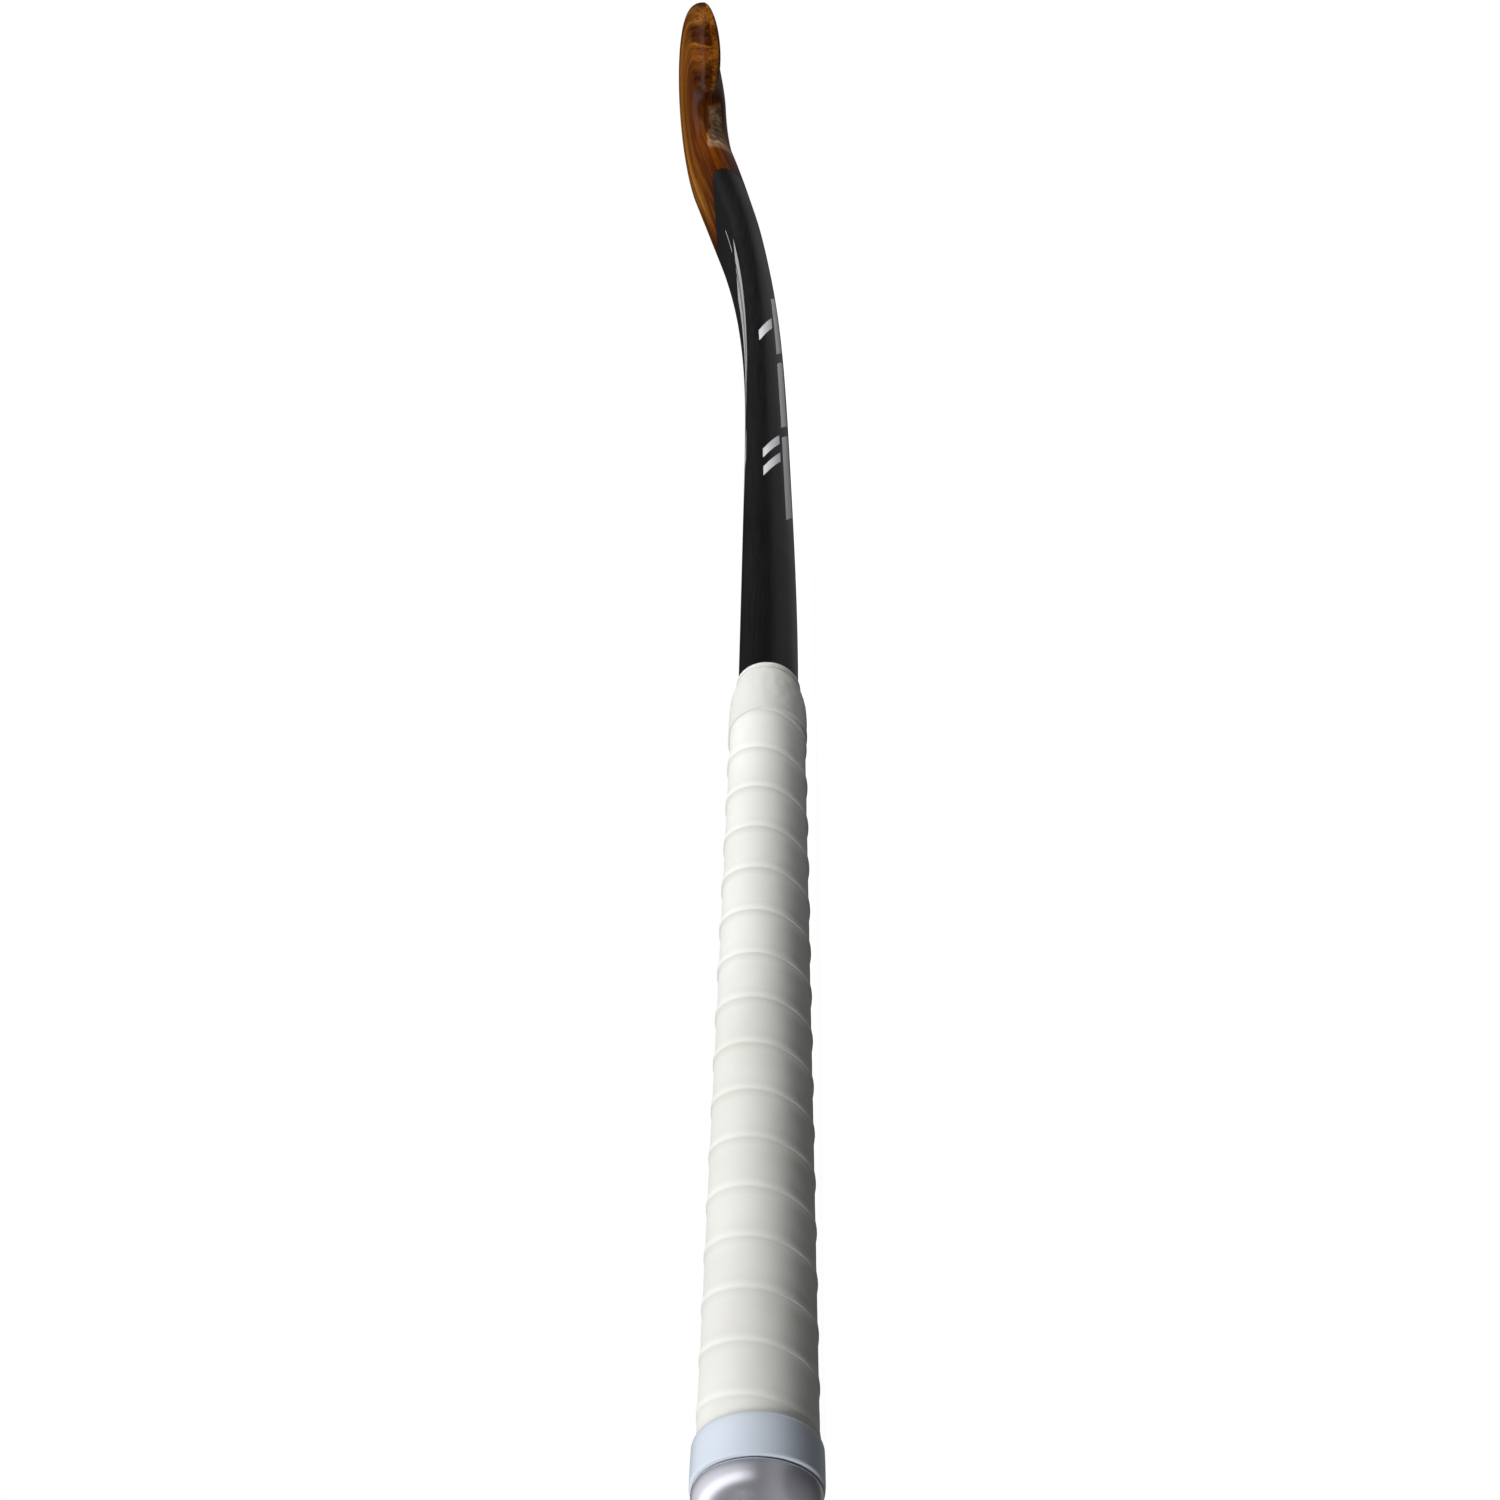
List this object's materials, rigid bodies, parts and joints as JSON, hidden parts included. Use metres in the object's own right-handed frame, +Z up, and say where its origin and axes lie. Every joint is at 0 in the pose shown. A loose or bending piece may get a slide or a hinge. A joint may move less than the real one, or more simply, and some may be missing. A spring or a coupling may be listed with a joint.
{
  "type": "indoor hockey stick",
  "caption": "Right-handed indoor hockey stick: laminated hooked wood head with a flat playing face, bowed black fibre-sleeved shaft, wound white grip and domed butt cap.",
  "frame": {"origin": "on the floor under the middle of the stick's box, with the stick lying on its back", "axes": "+X from the butt to the head along the handle, +Z up and out of the playing face, the toe points to -Y"},
  "size_m": [0.9206, 0.1164, 0.0787],
  "materials": {
    "head_wood": "lacquered, gloss",
    "cane": "raw",
    "core_rubber": "matte",
    "black_fibre": "satin",
    "cap_plastic": "gloss",
    "plug_plastic": "matte",
    "ice_band": "satin",
    "foam": "soft",
    "white_tape": "soft, smooth"
  },
  "bodies": {
    "root": {"head_ply_1": "head_wood", "head_ply_2": "head_wood", "head_ply_3": "head_wood", "head_ply_4": "head_wood", "head_ply_5": "head_wood", "head_ply_6": "head_wood", "head_ply_7": "head_wood", "head_ply_8": "head_wood", "core_cane_heel": "cane", "core_cane_middle": "cane", "core_cane_toe": "cane", "core_rubber_heel": "core_rubber", "core_rubber_toe": "core_rubber", "shaft_sleeve": "black_fibre", "butt_cap": "cap_plastic", "butt_plug": "plug_plastic", "end_band": "ice_band", "grip_underlay": "foam", "grip_wrap": "white_tape", "grip_top_tape": "white_tape"}
  },
  "joints": []
}
